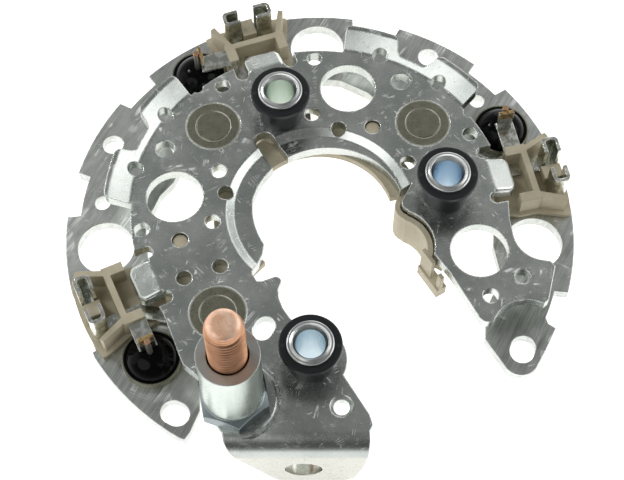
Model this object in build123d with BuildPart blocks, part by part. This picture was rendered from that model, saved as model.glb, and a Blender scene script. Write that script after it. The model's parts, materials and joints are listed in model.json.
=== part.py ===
from build123d import *
import os
from math import cos, hypot, radians, sin

# Alternator rectifier: two interleaved horseshoe heat sinks with six press-fit diodes,
# a moulded terminal carrier, three insulated fixing bushes and one output stud.
# The origin is on the rotor axis, in the face of the negative plate that seats on the housing.
# +Z runs from that face to the output stud, and all sizes are millimetres.

os.makedirs("parts", exist_ok=True)

# Stacking of the two heat sink plates
plate_thickness = 3.0
plate_gap = 5.7
negative_top = plate_thickness
positive_bottom = negative_top + plate_gap
positive_top = positive_bottom + plate_thickness

# The three phases repeat round the rotor axis
phase_count = 3
first_phase = 12.6
phase_pitch = 96.0

# Negative plate, with azimuths given from the phase before them
rim_radius = 59.0
bay_depth = 3.0
bay_draft = 0.6
first_bay = (26.8, 37.0)
second_bay = (57.4, 69.4)
negative_plate_width = 18.6
diode_relief = 1.2
inner_lug_reach = 4.0
inner_lug_step = 2.0
relief_start = 14.0
relief_depth_start = 20.0
relief_depth_end = 41.0
lug_start = 46.0
lug_end = 53.0
lug_step_end = 59.5
relief_end = 70.0
wire_hole_radius = 6.5
wire_hole_inset = 9.25
wire_hole_shift = -17.9
rim_hole_radius = 2.45
rim_hole_inset = 4.8
rim_hole_shift = 47.6
pin_hole_radius = 1.8
pin_hole_inset = 7.6
first_pin_hole_shift = 29.1
second_pin_hole_shift = 64.7
ear_slot_width = 5.5
ear_slot_length = 6.6
right_ear_inset = 4.2
right_ear_turn = -34.45
right_ear_slot_turn = 72.0
left_ear_inset = 3.13
left_ear_turn = 235.45
left_ear_slot_turn = -28.0
left_rim_rise = 1.0

# Positive plate
tongue_margin = 0.4
tongue_step = 2.5
tongue_width = 9.0
tongue_corner = 2.0
tongue_slope_length = 4.9
tongue_drop = 1.4
tongue_bend_blend = 3.0
tongue_edge_round = 0.9
notch_radius = 1.5
notch_depth = 4.4
air_hole_radius = 6.5
air_holes = ((10.0, 78.33), (9.68, 174.84), (5.72, -16.6))
wing_span = 6.1
wing_rise = 2.7
wing_bend_margin = 0.4
wing_rolled_edge = 0.9
wing_web_margin = 2.0
wing_corner = 1.8
first_wing = (26.6, 41.2)
second_wing = (54.8, 69.8)
bend_blend = 1.6
opening_radius = 16.5
lip_bend_radius = 21.4
lip_foot_radius = 19.6
lip_drop = 1.2
lip_relief = 0.4
lip_slot_azimuth = 126.0
lip_slot_width = 4.6
lip_slot_end = 24.3
lip_slot_root = 12.0
edge_dip_radius = 1.4
edge_dip_margin = 0.6
edge_dip_shift = 23.4
small_hole_radius = 1.75
clearance_hole_radius = 2.2
countersink_radius = 2.5
small_phase_holes = ((2.8, 16.6), (2.4, 79.2), (-0.8, 37.4), (-0.7, 58.0))
clearance_phase_hole = (3.8, 48.0)
upper_hole_centres = ((-1.81, 25.03), (20.38, 11.99), (-23.24, 9.67), (-24.32, -3.44), (-22.29, -14.59))
lower_hole_centres = ((-30.18, -17.53), (4.4, 21.17), (-21.58, 4.02), (37.61, -21.76), (44.97, -17.15))
countersunk_hole_centre = (4.53, -47.51)
oval_hole_centre = (-12.3, -29.6)
oval_hole_turn = 62.0
oval_hole_length = 5.8
oval_hole_width = 4.4
land_radius = 9.8
land_groove_width = 0.8
land_groove_depth = 0.3

# Tab bent down from the positive plate under the output stud
tab_face = -57.6
tab_fold_start = -53.2
tab_bottom = -8.5
tab_bend_radius = 1.5
tab_hole_radius = 4.1
tab_hole_x = -3.6
tab_hole_z = -0.6

# Press-fit diodes
diode_radius = 6.4
diode_height = 4.8
diode_base = 2.0
diode_wall = 0.7
diode_collar = 0.2
diode_ring_radius = 4.0
diode_ring_width = 0.25
diode_ring_depth = 0.15
die_width = 4.2
die_thickness = 0.4
lead_head_radius = 1.7
lead_head_thickness = 0.5
lead_radius = 0.65
negative_dome_height = 2.9
positive_dome_height = 1.3
dome_shoulder = 0.72
dome_shoulder_height = 0.66
negative_diode_inset = 8.8
negative_diode_shift = 17.5
negative_lead_top = 14.2
positive_lead_bottom = 3.6
positive_diodes = ((9.9, 43.1), (9.84, 138.9), (8.8, 229.0))

# Insulated fixing bushes with their eyelets
bush_centres = ((28.46, 4.05), (-9.12, 25.54), (-2.09, -36.95))
bush_flange_radius = 6.8
bush_flange_thickness = 1.3
bush_flange_taper = 0.9
bush_neck_radius = 5.25
bush_stand = 9.1
bush_spigot_radius = 4.6
bush_spigot_bottom = 1.5
eyelet_flange_radius = 5.1
eyelet_flange_thickness = 0.7
eyelet_bore_radius = 3.25
eyelet_wall = 0.6
eyelet_crest_radius = 3.85
eyelet_crest = 0.2
eyelet_funnel = 0.8
eyelet_crest_round = 0.2
bush_plate_margin = 2.7
fit_clearance = 0.05

# Output stud and its hexagon sleeve
stud_centre = (-18.33, -45.79)
stud_radius = 4.0
stud_head_radius = 6.6
stud_head_thickness = 3.0
stud_top = 52.2
stud_tip_radius = 3.6
stud_tip_length = 4.4
stud_tip_flat_radius = 2.4
stud_tip_round = 2.2
stud_lead_in = 0.4
stud_neck_radius = 3.6
stud_thread_margin = 0.3
hexagon_flats = 14.0
hexagon_height = 4.5
hexagon_turn = -80.0
hexagon_crown = 1.3
sleeve_radius = 6.53
sleeve_height = 24.75
sleeve_bore_radius = 4.3
sleeve_thread_length = 7.0

# Moulded terminal carrier
slab_thickness = 1.2
tower_top = 9.5
tower_wall_margin = 4.5
tower_wall_thickness = 1.5
tower_leg_length = 3.4
tower_leg_inner = 5.1
tower_leg_outer = 7.4
tower_fence = 1.1
tower_fence_inset = 1.4
tower_fence_spread = 9.3
slab_inset = 0.2
slab_half_width = 10.4
slab_corner = 1.2
slab_waist_length = 4.3
slab_waist_margin = 0.8
arm_half_width = 5.6
arm_margin = 0.6
arm_post = 1.8
skirt_half_width = 7.4
skirt_inset = 0.6
skirt_thickness = 6.2
skirt_bottom = -4.0
skirt_window_clearance = 0.3
ring_thickness = 2.0
ring_inner_radius = 17.0
ring_outer_radius = 24.4
ring_start = 17.0
ring_end = 224.0
stake_radius = 1.65
stake_pad_radius = 3.2
stake_top = 11.0
stake_clearance = 0.2
first_stake = (12.37, 21.57)
second_stake = (-31.47, -8.11)
plate_stake_inset = 1.5
plate_stake_radius = 1.7
plate_stake_head_radius = 2.9
plate_stake_head = 1.2
boss_wall = 2.4
guard_thickness = 1.2
guard_clearance = 0.3
guard_top = 9.9
guard_bottom = -1.3
guard_bay_centre = (16.7, -9.2)
guard_bay_radius = 9.1
guard_bay_start = -14.0
guard_bay_end = 67.0
guard_lug_centre = (20.55, 1.4)
guard_lug_radius = 1.9
guard_lug_start = 150.0
guard_lug_end = 245.0
latch_centre = (25.71, -12.55)
latch_turn = -57.4
latch_length = 7.7
latch_width = 2.55
latch_foot_height = 3.6
latch_ledge = 0.5
latch_wall = 0.9
latch_wall_length = 4.1
latch_post_length = 1.3
latch_post_top = 8.2

# Stamped phase terminals
sheet = 0.8
clip_inset = 1.1
clip_span = 3.9
clip_near = 2.0
clip_far = 6.0
clip_bend = 0.9
clip_top = 13.0
clip_block_half_width = 1.7
clip_block_margin = 0.3
clip_block_top = 7.4
foot_half_width = 1.2
foot_back = 2.2
link_clearance = 0.4
link_width = 4.2
weld_tab_inset = 0.3
weld_tab_top = 13.9

# Reaches that follow from the rim, so that what lines up moves together
bay_radius = rim_radius - bay_depth
negative_inner_radius = rim_radius - negative_plate_width
diode_relief_radius = negative_inner_radius + diode_relief
inner_lug_radius = negative_inner_radius - inner_lug_reach
wire_hole_orbit = rim_radius - wire_hole_inset
rim_hole_orbit = rim_radius - rim_hole_inset
pin_hole_orbit = rim_radius - pin_hole_inset
negative_diode_orbit = rim_radius - negative_diode_inset
slab_reach = rim_radius - slab_inset
clip_outer = slab_reach - clip_inset
clip_inner = clip_outer - clip_span
tower_wall_inner = clip_inner - tower_wall_margin
tower_leg_reach = tower_wall_inner - tower_leg_length
plate_stake_orbit = tower_leg_reach - plate_stake_inset
skirt_outer = rim_radius - skirt_inset
skirt_inner = skirt_outer - skirt_thickness

# Reaches of the positive plate, which follow from the towers that its tongues meet
tongue_reach = tower_leg_reach - tongue_margin
tongue_bend = tongue_reach - tongue_slope_length
arm_reach = tongue_bend - arm_margin
positive_radius = tongue_reach - tongue_step
notch_root = positive_radius - notch_depth
tongue_root = notch_root + notch_radius
edge_dip_orbit = positive_radius + edge_dip_margin
wing_radius = positive_radius + wing_span
wing_bend_radius = positive_radius + wing_bend_margin
wing_crest_radius = wing_radius - wing_rolled_edge
wing_web_radius = positive_radius + wing_web_margin


def polar(radius, azimuth):
    """Point in the plan at a radius and an azimuth in degrees."""
    return (radius * cos(radians(azimuth)), radius * sin(radians(azimuth)))


def beside(centre, offsets):
    """Points in the plan given by their offsets from a centre."""
    return [(centre[0] + offset[0], centre[1] + offset[1]) for offset in offsets]


def inset_spots(insets):
    """Points in the plan given by their distance inside the positive plate's edge and their azimuth."""
    return [polar(positive_radius - inset, turn) for inset, turn in insets]


def round_arc(radius, start, end):
    """Arc about the rotor axis from one azimuth to another."""
    return ThreePointArc(polar(radius, start), polar(radius, (start + end) / 2), polar(radius, end))


def phase_azimuth(index):
    """Azimuth of the middle of a phase's terminal tower."""
    return first_phase + index * phase_pitch


def phase_plane(index, height=0.0):
    """Plane whose X runs outwards through a tower and whose Y runs anticlockwise."""
    turn = phase_azimuth(index)
    return Plane(origin=(0, 0, height), x_dir=(cos(radians(turn)), sin(radians(turn)), 0), z_dir=(0, 0, 1))


def phase_section(index):
    """Upright plane through the middle of a tower, with X outwards and Y up."""
    turn = phase_azimuth(index)
    return Plane(origin=(0, 0, 0), x_dir=(*polar(1, turn), 0), z_dir=(*polar(1, turn - 90), 0))


def phase_spots(radius, shift, count=phase_count):
    """Locations that repeat once in each phase at a radius and an azimuth shift."""
    return PolarLocations(radius, count, first_phase + shift, (count - 1) * phase_pitch, endpoint=True)


def finish(part, name):
    """Label one piece and write it to its own file."""
    part.label = name
    export_step(part, "parts/" + name + ".step")


# Negative plate: outer horseshoe with rim bays, ears and a wavy inner edge
right_ear_centre = polar(rim_radius - right_ear_inset, right_ear_turn)
left_ear_centre = polar(rim_radius - left_ear_inset, left_ear_turn)
right_ear = beside(right_ear_centre, ((5.7, 7.6), (6.2, 6.2), (7.8, 5.1), (5.1, -0.2), (2.7, -4.4)))
right_ear_nose = beside(right_ear_centre, ((2.7, -4.4), (-0.5, -6.1), (-3.8, -4.7)))
right_inner = beside(right_ear_centre, ((-3.8, -4.7), (-8.3, 2.5), (-7.6, 10.0), (-3.6, 17.8)))
right_inner_turn = -7.4
right_rim_turn = -16.8
right_bay_start = -24.6
left_inner_turn = 229.0
left_ear = beside(left_ear_centre, ((5.1, 8.0), (5.4, 0.6), (3.5, -4.2), (2.3, -6.0)))
left_rim_start = 206.0
left_rim_turn = 213.0
left_ear_rim_turn = 239.4

with BuildPart() as negative_plate:
    with BuildSketch():
        with BuildLine():
            round_arc(rim_radius, right_rim_turn, left_rim_start)
            Line(polar(rim_radius, left_rim_start), polar(rim_radius + left_rim_rise, left_rim_turn))
            round_arc(rim_radius + left_rim_rise, left_rim_turn, left_ear_rim_turn)
            Line(polar(rim_radius + left_rim_rise, left_ear_rim_turn), left_ear[3])
            Polyline(*reversed(left_ear))
            left_relief = phase_azimuth(2) + relief_depth_start
            Line(left_ear[0], polar(diode_relief_radius, left_inner_turn))
            round_arc(diode_relief_radius, left_inner_turn, left_relief)
            Line(polar(diode_relief_radius, left_relief), polar(negative_inner_radius, phase_azimuth(2) + relief_start))
            for index in (2, 1):
                turn = phase_azimuth(index)
                before = turn - phase_pitch
                lug_step = polar(inner_lug_radius + inner_lug_step, before + lug_step_end)
                round_arc(negative_inner_radius, turn + relief_start, before + relief_end)
                Line(polar(negative_inner_radius, before + relief_end), lug_step)
                Line(lug_step, polar(inner_lug_radius, before + lug_end))
                round_arc(inner_lug_radius, before + lug_end, before + lug_start)
                Line(polar(inner_lug_radius, before + lug_start), polar(diode_relief_radius, before + relief_depth_end))
                round_arc(diode_relief_radius, before + relief_depth_end, before + relief_depth_start)
                Line(
                    polar(diode_relief_radius, before + relief_depth_start),
                    polar(negative_inner_radius, before + relief_start),
                )
            round_arc(negative_inner_radius, first_phase + relief_start, right_inner_turn)
            Line(polar(negative_inner_radius, right_inner_turn), right_inner[3])
            Polyline(*reversed(right_inner))
            ThreePointArc(*reversed(right_ear_nose))
            Polyline(*reversed(right_ear))
            Line(right_ear[0], polar(bay_radius, right_bay_start))
            round_arc(bay_radius, right_bay_start, right_rim_turn - bay_draft)
            Line(polar(bay_radius, right_rim_turn - bay_draft), polar(rim_radius, right_rim_turn))
        make_face()
        for index in (0, 1):
            for bay in (first_bay, second_bay):
                start = phase_azimuth(index) + bay[0]
                end = phase_azimuth(index) + bay[1]
                with BuildLine():
                    round_arc(bay_radius, start + bay_draft, end - bay_draft)
                    Line(polar(bay_radius, end - bay_draft), polar(rim_radius + 1, end))
                    round_arc(rim_radius + 1, end, start)
                    Line(polar(rim_radius + 1, start), polar(bay_radius, start + bay_draft))
                make_face(mode=Mode.SUBTRACT)
        with phase_spots(wire_hole_orbit, wire_hole_shift):
            Circle(wire_hole_radius, mode=Mode.SUBTRACT)
        with phase_spots(rim_hole_orbit, rim_hole_shift, 2):
            Circle(rim_hole_radius, mode=Mode.SUBTRACT)
        with phase_spots(pin_hole_orbit, first_pin_hole_shift, 2):
            Circle(pin_hole_radius, mode=Mode.SUBTRACT)
        with phase_spots(pin_hole_orbit, second_pin_hole_shift, 2):
            Circle(pin_hole_radius, mode=Mode.SUBTRACT)
        with phase_spots(plate_stake_orbit, 0):
            Circle(plate_stake_radius + fit_clearance, mode=Mode.SUBTRACT)
        with phase_spots(negative_diode_orbit, negative_diode_shift):
            Circle(diode_radius, mode=Mode.SUBTRACT)
        with phase_spots((skirt_inner + rim_radius + 4) / 2 - skirt_window_clearance / 2, 0):
            Rectangle(
                rim_radius + 4 - skirt_inner + skirt_window_clearance,
                2 * (skirt_half_width + skirt_window_clearance),
                mode=Mode.SUBTRACT,
            )
        with Locations(Location(right_ear_centre, right_ear_slot_turn)):
            SlotOverall(ear_slot_length, ear_slot_width, mode=Mode.SUBTRACT)
        with Locations(Location(left_ear_centre, left_ear_slot_turn)):
            SlotOverall(ear_slot_length, ear_slot_width, mode=Mode.SUBTRACT)
    extrude(amount=plate_thickness)
    with phase_spots(plate_stake_orbit, 0):
        Cone(
            plate_stake_head_radius + fit_clearance,
            plate_stake_radius + fit_clearance,
            plate_stake_head,
            align=(Align.CENTER, Align.CENTER, Align.MIN),
            mode=Mode.SUBTRACT,
        )
finish(negative_plate.part, "negative_plate")

# Raised wings of the positive plate: a pressed flange cut to its plan outline
with BuildPart() as wings:
    with BuildSketch(Plane.XZ):
        with BuildLine():
            Polyline(
                (positive_radius - 2.5, positive_bottom),
                (wing_bend_radius, positive_bottom),
                (wing_crest_radius, positive_bottom + wing_rise),
                (wing_radius + 1, positive_bottom + wing_rise),
                (wing_radius + 1, positive_top + wing_rise),
                (wing_crest_radius, positive_top + wing_rise),
                (wing_bend_radius, positive_top),
                (positive_radius - 2.5, positive_top),
                close=True,
            )
        make_face()
        bends = vertices().filter_by(lambda v: wing_bend_radius - 0.1 < v.X < wing_crest_radius + 0.1)
        fillet(bends, bend_blend)
    revolve(axis=Axis.Z)
    with BuildSketch(Plane.XY.offset(positive_bottom - 1)):
        for index in (0, 1):
            turn = phase_azimuth(index)
            root = positive_radius - 2
            web_start = turn + first_wing[1] + 2.4
            web_end = turn + second_wing[0] - 2.0
            with BuildLine():
                Line(polar(root, turn + first_wing[0]), polar(wing_radius, turn + first_wing[0]))
                round_arc(wing_radius, turn + first_wing[0], turn + first_wing[1])
                Line(polar(wing_radius, turn + first_wing[1]), polar(wing_web_radius, web_start))
                round_arc(wing_web_radius, web_start, web_end)
                Line(polar(wing_web_radius, web_end), polar(wing_radius, turn + second_wing[0]))
                round_arc(wing_radius, turn + second_wing[0], turn + second_wing[1])
                Line(polar(wing_radius, turn + second_wing[1]), polar(root, turn + second_wing[1]))
                round_arc(root, turn + second_wing[1], turn + first_wing[0])
            make_face()
        fillet(vertices().filter_by(lambda v: hypot(v.X, v.Y) > wing_web_radius - 0.5), wing_corner)
    extrude(amount=plate_thickness + wing_rise + 2, mode=Mode.INTERSECT)

# Tongues of the positive plate, bent down towards the towers, with their pressed edges rounded
tongues = []
for index in range(phase_count):
    with BuildPart() as tongue:
        with BuildSketch(phase_section(index)):
            with BuildLine():
                Polyline(
                    (notch_root - tongue_corner, positive_bottom),
                    (tongue_bend, positive_bottom),
                    (tongue_reach, positive_bottom - tongue_drop),
                    (tongue_reach, positive_top - tongue_drop),
                    (tongue_bend, positive_top),
                    (notch_root - tongue_corner, positive_top),
                    close=True,
                )
            make_face()
            fillet(vertices().filter_by(lambda v: abs(v.X - tongue_bend) < 0.1), tongue_bend_blend)
        extrude(amount=tongue_width, both=True)
        with BuildSketch(phase_plane(index, positive_bottom - tongue_drop - 1)):
            with Locations(((notch_root - tongue_corner + tongue_reach) / 2, 0)):
                RectangleRounded(tongue_reach - notch_root + tongue_corner, tongue_width, tongue_corner)
        extrude(amount=plate_thickness + tongue_drop + 2, mode=Mode.INTERSECT)
        plan = phase_plane(index)
        rim = tongue.faces().filter_by(lambda f: f.normal_at().Z > 0.5).edges()
        across = rim.filter_by(
            lambda e: abs(plan.to_local_coords(e.center()).Y) < 0.1
            and abs(plan.to_local_coords(e.center()).X - tongue_bend) < tongue_bend_blend
        )
        fillet(rim - across, tongue_edge_round)
    tongues.append(tongue.part)

# Pressed-down lip round the central opening
lip_outline_start = (18.4, 5.4)
lip_outline_left = (-15.4, 2.7)
lip_outline_low = (-12.6, -8.6)
lip_outline_end = (-13.0, -11.4)
lip_turn_start = 17.0
lip_turn_end = 227.0
lip_root = lip_bend_radius + 1.2

with BuildPart() as lip:
    with BuildSketch(Plane.XZ):
        with BuildLine():
            Polyline(
                (lip_root, positive_bottom),
                (lip_bend_radius, positive_bottom),
                (lip_foot_radius, positive_bottom - lip_drop),
                (opening_radius - 4, positive_bottom - lip_drop),
                (opening_radius - 4, positive_top - lip_drop),
                (lip_foot_radius, positive_top - lip_drop),
                (lip_bend_radius, positive_top),
                (lip_root, positive_top),
                close=True,
            )
        make_face()
        bends = vertices().filter_by(lambda v: lip_foot_radius - 0.1 < v.X < lip_bend_radius + 0.1)
        fillet(bends, bend_blend / 2)
    revolve(axis=Axis.Z)
    with BuildSketch(Plane.XY.offset(positive_bottom - 2)):
        with BuildLine():
            ThreePointArc(lip_outline_start, (0, opening_radius), lip_outline_left)
            ThreePointArc(lip_outline_left, (-14.9, -3.2), lip_outline_low)
            Line(lip_outline_low, lip_outline_end)
            Line(lip_outline_end, polar(lip_root, lip_turn_end))
            round_arc(lip_root, lip_turn_end, lip_turn_start)
            Line(polar(lip_root, lip_turn_start), lip_outline_start)
        make_face()
    extrude(amount=plate_thickness + 3, mode=Mode.INTERSECT)

# Tab under the stud, bent square from the plate and rounded at its foot
tab_left_corner = (-20.9, tab_fold_start)
tab_right_corner = (10.3, tab_fold_start)
tab_back = tab_face + plate_thickness
tab_start = tab_back + tab_bend_radius

with BuildPart() as stud_tab:
    with BuildSketch(Plane.YZ):
        with BuildLine():
            Line((tab_start, positive_top), (tab_start, positive_bottom))
            RadiusArc(
                (tab_start, positive_bottom),
                (tab_back, positive_bottom - tab_bend_radius),
                -tab_bend_radius,
            )
            Polyline(
                (tab_back, positive_bottom - tab_bend_radius),
                (tab_back, tab_bottom),
                (tab_face, tab_bottom),
                (tab_face, positive_bottom - tab_bend_radius),
            )
            RadiusArc(
                (tab_face, positive_bottom - tab_bend_radius),
                (tab_start, positive_top),
                tab_bend_radius + plate_thickness,
            )
        make_face()
    extrude(amount=30, both=True)
    with BuildSketch(Plane.XZ):
        with BuildLine():
            Polyline(
                (tab_left_corner[0] - 0.5, positive_top + 1),
                (tab_left_corner[0] + 2.5, positive_bottom - 0.7),
                (-12.8, -2.2),
                (-9.4, tab_bottom),
                (7.2, tab_bottom),
                (9.4, 2.0),
                (tab_right_corner[0] + 0.3, positive_top + 1),
                close=True,
            )
        make_face()
        fillet(vertices().filter_by(lambda v: v.Y < 9), 3.0)
    extrude(amount=70, both=True, mode=Mode.INTERSECT)
    with BuildSketch(Plane.XZ.offset(-tab_face + 1)):
        with Locations((tab_hole_x, tab_hole_z)):
            Circle(tab_hole_radius)
    extrude(amount=-plate_thickness - 2, mode=Mode.SUBTRACT)

# Positive plate: inner horseshoe that carries the wings, lip and tab
outline_left_turn = 216.5
outline_right_turn = -3.5
left_edge = ((-29.6, -38.0), (-25.4, -41.4), (-25.4, -46.5))
right_of_tab = ((11.1, -51.6), (10.4, -49.3))
bush_lobe_radius = bush_neck_radius + bush_plate_margin
lobe_start = (5.0, -40.5)
lobe_end = (-4.1, -29.3)
inner_left_edge = ((-6.6, -27.2), (-8.2, -24.8), (-9.1, -22.4), (-9.3, -20.5), (-8.8, -19.0))
inner_lug = ((-8.8, -19.0), (-8.9, -17.6), (-10.0, -17.2))
inner_lug_foot = ((-12.9, -18.3), (-14.0, -18.3), (-15.1, -16.5))
right_shoulder = beside(right_ear_centre, ((-1.6, 24.0), (0.3, 20.1), (4.3, 18.0)))
right_corner = beside(right_ear_centre, ((6.2, 17.7), (7.2, 16.4), (5.2, 8.4)))
ear_relief = beside(right_ear_centre, ((4.1, 7.4), (-2.2, 8.0), (-6.9, 3.8)))
right_foot = beside(right_ear_centre, ((-6.9, 3.8), (-8.8, 3.0), (-10.5, 4.2)))
right_inner_edge = (29.0, -16.3)


def guard_bay_arc(radius):
    """Arc of the bay in the plate's edge where the moulded guard stands, from right to left."""
    middle = (guard_bay_start + guard_bay_end) / 2
    turns = (guard_bay_start, middle, guard_bay_end)
    return [Vector(*guard_bay_centre) + Vector(*polar(radius, turn)) for turn in turns]


def guard_lug_arc(radius):
    """Arc of the rounded lug beside that bay, from the bay to the lip."""
    middle = (guard_lug_start + guard_lug_end) / 2
    turns = (guard_lug_end, middle, guard_lug_start)
    return [Vector(*guard_lug_centre) + Vector(*polar(radius, turn)) for turn in turns]


bay_edge = guard_bay_arc(guard_bay_radius)
lug_edge = guard_lug_arc(guard_lug_radius)

with BuildPart() as positive_plate:
    with BuildSketch(Plane.XY.offset(positive_bottom)):
        with BuildLine():
            round_arc(positive_radius, outline_right_turn, outline_left_turn)
            Polyline(polar(positive_radius, outline_left_turn), *left_edge, tab_left_corner)
            Polyline(tab_left_corner, tab_right_corner, *right_of_tab, lobe_start)
            ThreePointArc(
                lobe_start,
                (bush_centres[2][0] + bush_lobe_radius * 0.8, bush_centres[2][1] + bush_lobe_radius * 0.6),
                lobe_end,
            )
            Polyline(lobe_end, *inner_left_edge)
            ThreePointArc(*inner_lug)
            Polyline(inner_lug[2], *inner_lug_foot, polar(lip_bend_radius + 0.6, lip_turn_end))
            round_arc(lip_bend_radius + 0.6, lip_turn_end, lip_turn_start)
            Line(polar(lip_bend_radius + 0.6, lip_turn_start), lug_edge[2])
            ThreePointArc(*reversed(lug_edge))
            Line(lug_edge[0], bay_edge[2])
            ThreePointArc(*reversed(bay_edge))
            Polyline(bay_edge[0], right_inner_edge, right_foot[2])
            ThreePointArc(*reversed(right_foot))
            ThreePointArc(*reversed(ear_relief))
            Line(ear_relief[0], right_corner[2])
            Line(right_corner[2], right_corner[1])
            Line(right_corner[1], right_corner[0])
            Line(right_corner[0], right_shoulder[2])
            ThreePointArc(*reversed(right_shoulder))
            Line(right_shoulder[0], polar(positive_radius, outline_right_turn))
        make_face()
        with phase_spots((tongue_root + tongue_reach + notch_radius) / 2, 0):
            Rectangle(tongue_reach + notch_radius - tongue_root, tongue_width + 2 * notch_radius, mode=Mode.SUBTRACT)
        for side in (-1, 1):
            notch_middle = side * (tongue_width / 2 + notch_radius)
            for index in range(phase_count):
                turn = phase_azimuth(index)
                middle = (tongue_root + tongue_reach) / 2
                place = Location((
                    middle * cos(radians(turn)) - notch_middle * sin(radians(turn)),
                    middle * sin(radians(turn)) + notch_middle * cos(radians(turn)),
                ), turn)
                with Locations(place):
                    SlotOverall(tongue_reach - notch_root + notch_radius, 2 * notch_radius, mode=Mode.SUBTRACT)
        with phase_spots(edge_dip_orbit, edge_dip_shift, 2):
            Circle(edge_dip_radius, mode=Mode.SUBTRACT)
    extrude(amount=plate_thickness)
    add(wings.part)
    add(tongues)
    add(lip.part)
    add(stud_tab.part)
    with BuildSketch(Plane.XY.offset(positive_bottom - 3)):
        with Locations(*inset_spots(air_holes)):
            Circle(air_hole_radius)
        with Locations(*bush_centres):
            Circle(bush_spigot_radius + fit_clearance)
        with Locations(stud_centre):
            Circle(stud_radius)
        with Locations(*inset_spots(positive_diodes)):
            Circle(diode_radius)
        with Locations(first_stake, second_stake):
            Circle(stake_radius + stake_clearance)
        for inset, shift in small_phase_holes:
            with phase_spots(positive_radius - inset, shift, 2):
                Circle(small_hole_radius)
        with phase_spots(positive_radius - clearance_phase_hole[0], clearance_phase_hole[1], 2):
            Circle(clearance_hole_radius)
        with Locations(*upper_hole_centres, *lower_hole_centres):
            Circle(small_hole_radius)
        with Locations(Location(oval_hole_centre, oval_hole_turn)):
            SlotOverall(oval_hole_length, oval_hole_width)
        with Locations(Location(polar((lip_slot_end + lip_slot_root) / 2, lip_slot_azimuth), lip_slot_azimuth)):
            SlotOverall(lip_slot_end - lip_slot_root, lip_slot_width)
    extrude(amount=plate_thickness + wing_rise + 4, mode=Mode.SUBTRACT)
    with Locations((countersunk_hole_centre[0], countersunk_hole_centre[1], positive_top)):
        CounterSinkHole(
            radius=small_hole_radius,
            counter_sink_radius=countersink_radius,
            depth=plate_thickness,
            counter_sink_angle=90,
        )
    with BuildSketch(Plane.XY.offset(positive_top - land_groove_depth)):
        with Locations(stud_centre):
            Circle(land_radius)
            Circle(land_radius - land_groove_width, mode=Mode.SUBTRACT)
    extrude(amount=land_groove_depth + 1, mode=Mode.SUBTRACT)
finish(positive_plate.part, "positive_plate")


# Phase terminals: one stamped sheet each, with two wire clips, a link and a weld tab
diode_u = negative_diode_orbit * cos(radians(negative_diode_shift))
diode_v = negative_diode_orbit * sin(radians(negative_diode_shift))
weld_face = diode_v - lead_radius
slab_top = negative_top + slab_thickness
link_bottom = diode_height + negative_dome_height + link_clearance
link_top = link_bottom + sheet
link_start = diode_u - link_width / 2
link_end = diode_u + link_width / 2
phase_terminals = []

for index in range(phase_count):
    turn = phase_azimuth(index)
    diode_inset, diode_turn = positive_diodes[index]
    orbit = positive_radius - diode_inset
    lead_u = orbit * cos(radians(diode_turn - turn))
    lead_v = orbit * sin(radians(diode_turn - turn))
    with BuildPart() as terminal:
        with BuildSketch(phase_plane(index, slab_top)):
            for side in (-1, 1):
                with BuildLine() as clip_path:
                    FilletPolyline(
                        (clip_inner + sheet / 2, side * clip_near),
                        (clip_inner + sheet / 2, side * (clip_far - sheet / 2)),
                        (clip_outer - sheet / 2, side * (clip_far - sheet / 2)),
                        (clip_outer - sheet / 2, side * clip_near),
                        radius=clip_bend,
                    )
                trace(clip_path.edges(), sheet)
        extrude(amount=clip_top - slab_top)
        with BuildSketch(phase_plane(index, slab_top)):
            with Locations(((clip_inner + clip_outer) / 2, 0)):
                RectangleRounded(clip_outer - clip_inner, 2 * clip_far, clip_bend + sheet / 2)
            with Locations(((clip_inner + link_start) / 2, (clip_near + clip_far) / 2)):
                Rectangle(clip_inner - link_start + sheet, clip_far - clip_near)
            with BuildLine():
                Polyline(
                    (link_start, clip_near),
                    (link_start, clip_far),
                    (lead_u + foot_half_width, lead_v),
                    (lead_u - foot_half_width, lead_v - lead_radius),
                    (lead_u - foot_half_width / 2, lead_v - foot_back),
                    close=True,
                )
            make_face()
        extrude(amount=sheet)
        with BuildSketch(phase_plane(index, slab_top)):
            with Locations(((link_start + link_end) / 2, clip_far)):
                Rectangle(link_end - link_start, sheet)
        extrude(amount=link_top - slab_top)
        with BuildSketch(phase_plane(index, link_bottom)):
            with Locations(((link_start + link_end) / 2, (clip_far - sheet / 2 + weld_face) / 2)):
                Rectangle(link_end - link_start, weld_face - clip_far + sheet / 2)
        extrude(amount=sheet)
        with BuildSketch(phase_plane(index, link_bottom)):
            with Locations(((link_start + link_end) / 2, weld_face - sheet / 2)):
                Rectangle(link_end - link_start - 2 * weld_tab_inset, sheet)
        extrude(amount=weld_tab_top - link_bottom)
        lead_spot = polar(orbit, diode_turn)
        with Locations((lead_spot[0], lead_spot[1], slab_top + sheet / 2)):
            Cylinder(lead_radius, 2 * sheet, mode=Mode.SUBTRACT)
    phase_terminals.append(terminal.part)
    finish(terminal.part, "phase_terminal_" + str(index + 1))

# Moulded carrier: inner ring, three arms with terminal towers, and the guard at its right end
ring_top = positive_bottom - lip_drop
ring_bottom = ring_top - ring_thickness
guard_offset = guard_thickness / 2 + guard_clearance
guard_in_bay = guard_bay_arc(guard_bay_radius - guard_offset)
guard_round_lug = guard_lug_arc(guard_lug_radius + guard_offset)
web_points = ((17.6, 6.5), (22.0, 7.0), (28.0, 0.0), (28.4, -6.0), (27.6, -13.0))
latch_plan = Plane(origin=(*latch_centre, guard_bottom), x_dir=(*polar(1, latch_turn), 0), z_dir=(0, 0, 1))
latch_wall_middle = latch_ledge + latch_wall / 2 - latch_width / 2

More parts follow.
